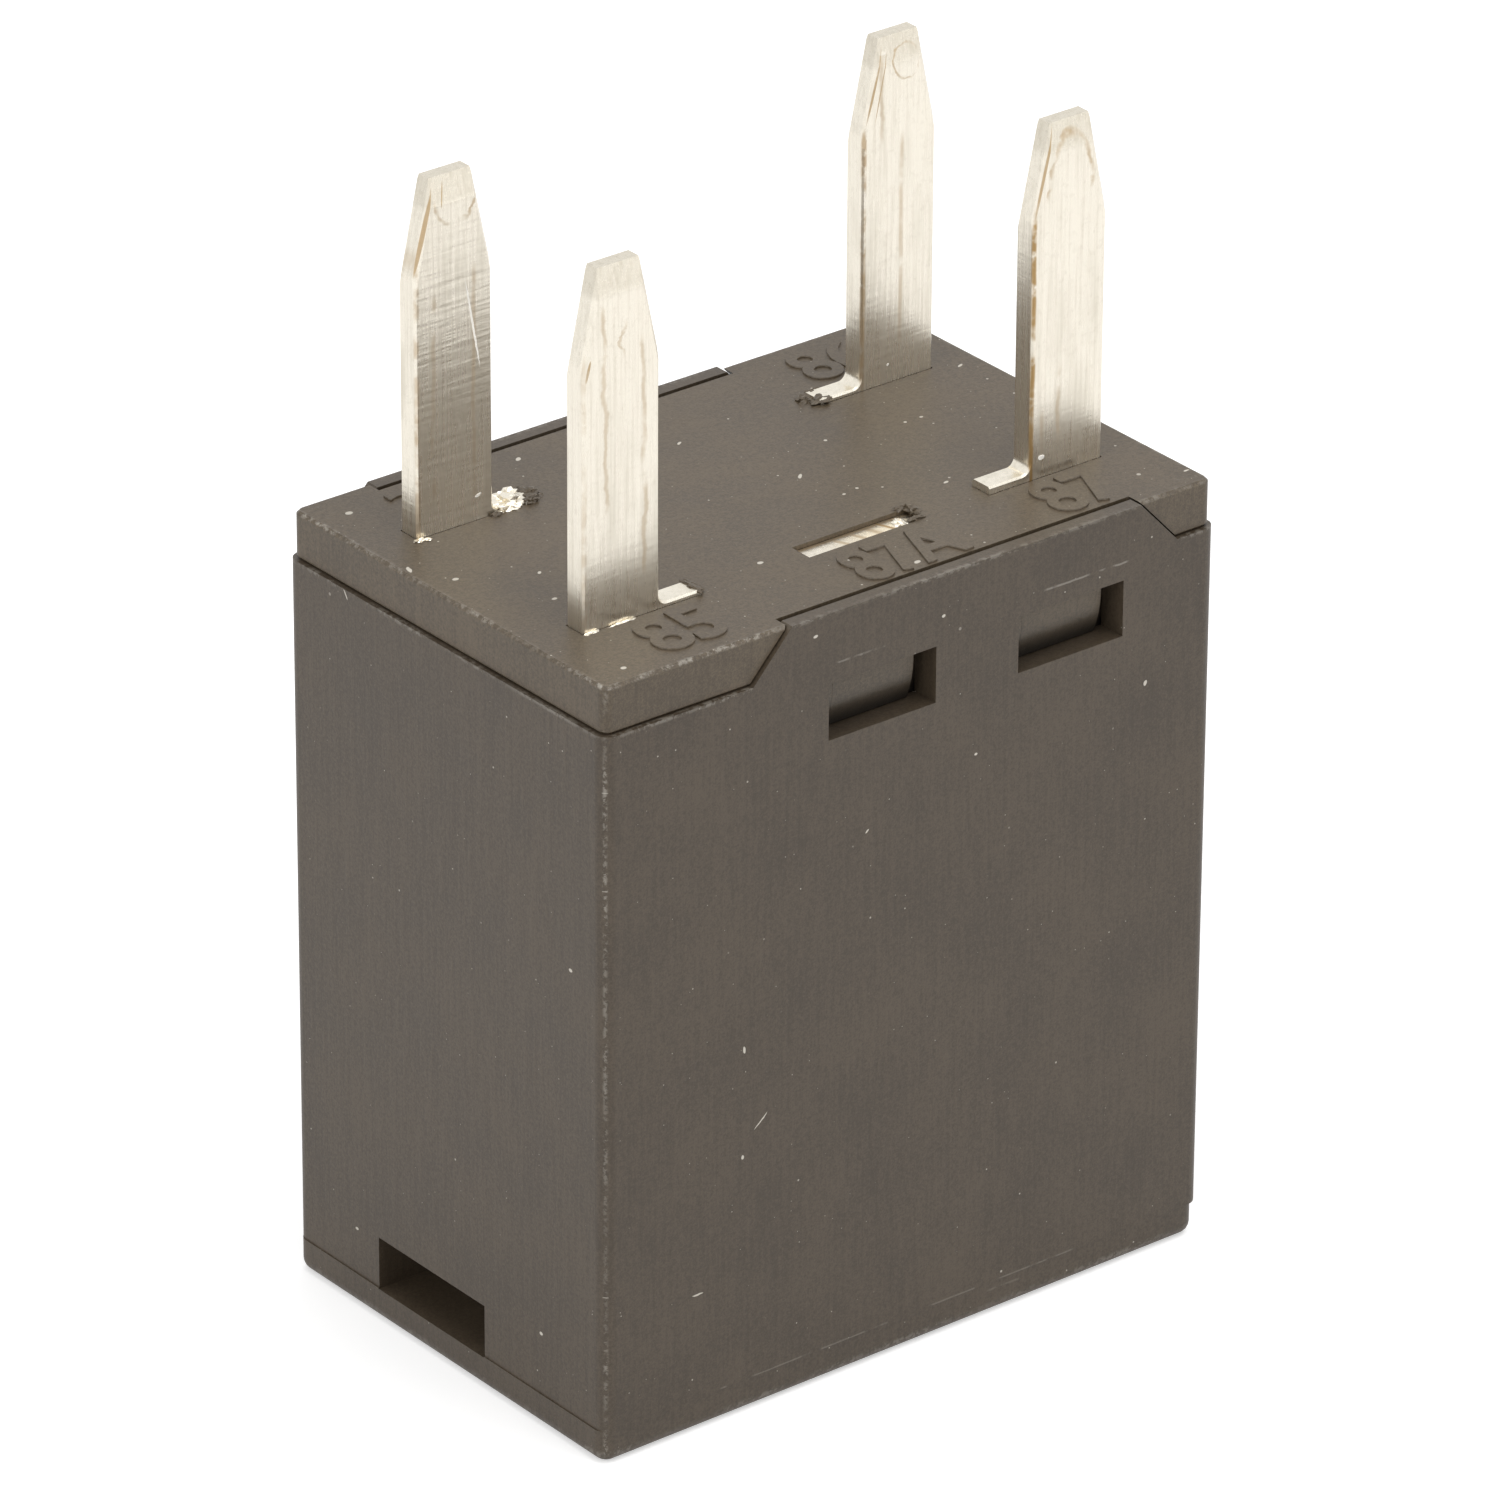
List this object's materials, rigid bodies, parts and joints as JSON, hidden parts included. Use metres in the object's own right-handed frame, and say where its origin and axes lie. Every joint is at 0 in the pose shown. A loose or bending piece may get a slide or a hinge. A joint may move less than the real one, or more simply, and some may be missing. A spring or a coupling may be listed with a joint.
{
  "type": "automotive relay",
  "caption": "Plug-in automotive changeover relay: rectangular plastic cover snapped over a hinged-armature mechanism, with flat blade terminals standing on its header.",
  "frame": {"origin": "middle of the resting face at the cover's closed end", "axes": "+Z towards the blade tips, X along the long side, -Y the side with the terminals 85, 87a and 87"},
  "size_m": [0.0232, 0.0154, 0.0372],
  "materials": {
    "cover_plastic": "moulded, fine matt grain",
    "header_plastic": "moulded, fine matt grain",
    "terminal_metal": "tin-plated strip, brushed and a little stained",
    "iron_plated": "zinc-plated soft iron",
    "bobbin_plastic": "glass-filled, matt",
    "enamelled_wire": "enamelled copper, glossy",
    "solder": "soft solder, bright",
    "spring_bronze": "rolled spring bronze",
    "rivet_metal": "plated",
    "contact_silver": "silver alloy, satin"
  },
  "bodies": {
    "housing": {"cover": "cover_plastic", "header": "header_plastic", "terminal_30": "terminal_metal", "terminal_85": "terminal_metal", "terminal_86": "terminal_metal", "terminal_87": "terminal_metal", "terminal_87a": "terminal_metal", "yoke": "iron_plated", "core": "iron_plated", "bobbin": "bobbin_plastic", "winding": "enamelled_wire", "lead_85": "enamelled_wire", "lead_86": "enamelled_wire", "solder": "solder", "yoke_rivets": "rivet_metal", "contact_87": "contact_silver", "contact_87a": "contact_silver"},
    "armature": {"armature": "iron_plated", "contact_spring": "spring_bronze", "armature_rivets": "rivet_metal", "moving_contact": "contact_silver"}
  },
  "joints": [
    {"name": "armature_hinge", "type": "hinge", "parent": "housing", "child": "armature", "pos_m": [-0.0096, 0, 0.006], "axis": [0, -1, 0], "range_deg": [0, 2.5], "stiffness_Nm_per_rad": 0.1, "springref_deg": -2.86, "deforming": ["contact_spring"]}
  ]
}
